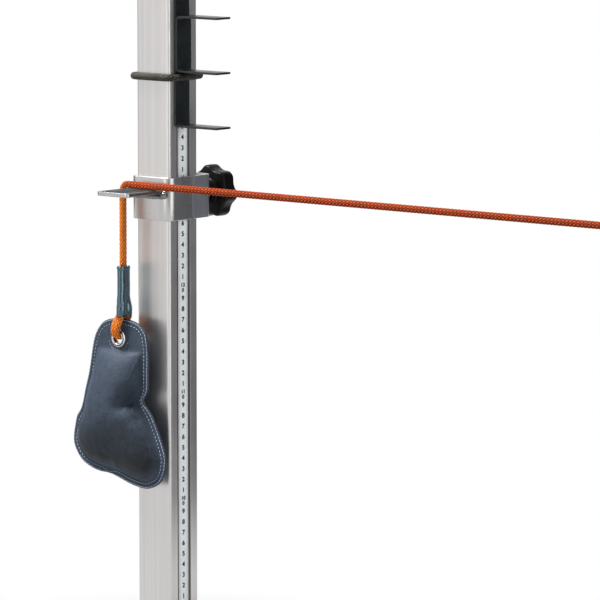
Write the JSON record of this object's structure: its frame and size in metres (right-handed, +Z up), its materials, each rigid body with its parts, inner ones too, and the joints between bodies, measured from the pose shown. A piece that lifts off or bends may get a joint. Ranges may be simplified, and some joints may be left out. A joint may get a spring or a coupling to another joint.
{
  "type": "sliding cord rest on a measuring upright",
  "caption": "Square upright section with a scale, a sliding clamp whose plate guides a cord, a hanging leather weight bag, and a flat-bar tongue rack held by an elastic ring.",
  "frame": {"origin": "centre of the upright's lower end, where the section is held", "axes": "+Z up along the upright, +X the way the cord runs over the plate, -Y out along the rest plate, +Y towards the clamp knob"},
  "size_m": [0.7088, 0.1491, 0.673],
  "materials": {
    "upright_aluminium": "brushed, anodised",
    "cap_plastic": "moulded",
    "screw_steel": "plated",
    "tape": "printed with plain numbers",
    "clamp_metal": "satin",
    "clamp_metal_rear": "satin",
    "rest_metal": "satin",
    "weld_metal": "as welded",
    "orange_cord": "tight round braid",
    "shrink_sleeve": "semi-gloss shrink tube",
    "pad_plastic": "moulded",
    "knob_plastic": "moulded, fine grain",
    "insert_brass": "turned",
    "rack_paint": "black semi-matte coat",
    "black_elastic": "braided cover",
    "ferrule_metal": "pressed",
    "navy_leather": "grained, pale double stitching",
    "sand": "loose",
    "eyelet_chrome": "polished"
  },
  "bodies": {
    "upright": {"mast_profile": "upright_aluminium", "mast_top_cap": "cap_plastic", "cap_screws": "screw_steel", "scale_tape": "tape"},
    "clamp": {"clamp_front_plate": "clamp_metal", "clamp_rear_plate": "clamp_metal_rear", "clamp_seam_welds": "weld_metal", "clamp_boss": "clamp_metal_rear", "boss_weld": "weld_metal", "rest_plate": "rest_metal", "rest_welds": "weld_metal", "cord_run": "orange_cord", "cord_bend": "orange_cord", "far_sleeve": "shrink_sleeve", "far_eye": "orange_cord"},
    "pad": {"pressure_pad": "pad_plastic", "pad_retainer": "screw_steel", "retainer_screws": "screw_steel"},
    "knob": {"knob_star": "knob_plastic", "knob_insert": "insert_brass", "clamp_screw": "screw_steel"},
    "rack": {"rack_long_bracket": "rack_paint", "rack_short_bracket": "rack_paint", "rack_welds": "rack_paint", "elastic_ring": "black_elastic", "elastic_ferrule": "ferrule_metal"},
    "hanger": {"cord_drop": "orange_cord", "bag_sleeve": "shrink_sleeve", "cord_eye": "orange_cord"},
    "bag": {"bag_front_panel": "navy_leather", "bag_back_panel": "navy_leather", "bag_filling": "sand", "eyelet_front": "eyelet_chrome", "eyelet_back": "eyelet_chrome"}
  },
  "joints": [
    {"name": "clamp_slide", "type": "slide", "parent": "upright", "child": "clamp", "axis": [0, 0, 1], "range_m": [-0.1, 0.02]},
    {"name": "pad_travel", "type": "slide", "parent": "clamp", "child": "pad", "axis": [0, 1, 0], "range_m": [0, 0.003]},
    {"name": "knob_turn", "type": "hinge", "parent": "pad", "child": "knob", "pos_m": [0, 0.06, 0.4075], "axis": [0, 1, 0], "range_deg": [0, 720]},
    {"name": "rack_slide", "type": "slide", "parent": "upright", "child": "rack", "axis": [0, 0, 1], "range_m": [-0.02, 0.04]},
    {"name": "cord_swing", "type": "hinge", "parent": "clamp", "child": "hanger", "pos_m": [-0.0224, -0.0365, 0.409], "axis": [0, 1, 0], "range_deg": [-30, 30], "deforming": ["cord_bend"]},
    {"name": "bag_rock", "type": "hinge", "parent": "hanger", "child": "bag", "pos_m": [-0.0271, -0.0365, 0.2772], "axis": [0, 1, 0], "range_deg": [-15, 15]}
  ],
  "couplings": [
    {"joint": "pad_travel", "follows": "knob_turn", "m_per_rad": 0.00023873}
  ]
}
